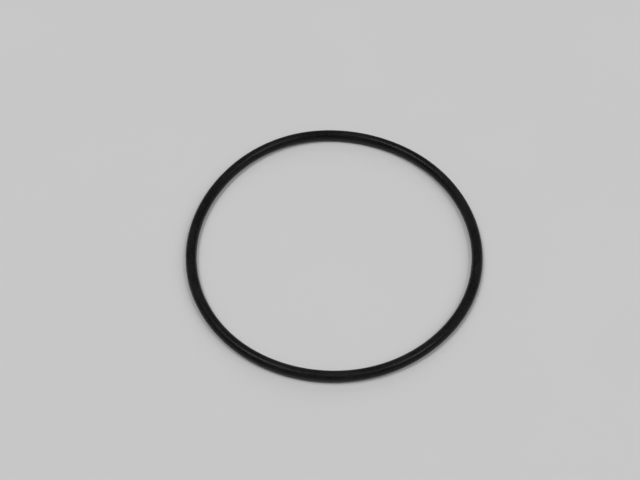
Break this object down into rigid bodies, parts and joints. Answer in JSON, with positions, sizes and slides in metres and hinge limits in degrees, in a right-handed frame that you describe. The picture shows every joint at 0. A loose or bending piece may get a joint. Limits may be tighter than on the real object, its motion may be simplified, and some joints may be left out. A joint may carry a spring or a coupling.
{
  "type": "rubber o-ring",
  "caption": "Black rubber o-ring: an endless ring of round section that lies flat, with a fine trimmed parting line round its inside and its outside.",
  "frame": {"origin": "centre of the ring, at mid height of its section", "axes": "+Z along the ring's axis, upward as it lies flat; +X and +Y in the plane of its parting line"},
  "size_m": [0.0971, 0.0972, 0.0034],
  "materials": {
    "black_rubber": "satin"
  },
  "bodies": {
    "root": {"o_ring": "black_rubber"}
  },
  "joints": []
}
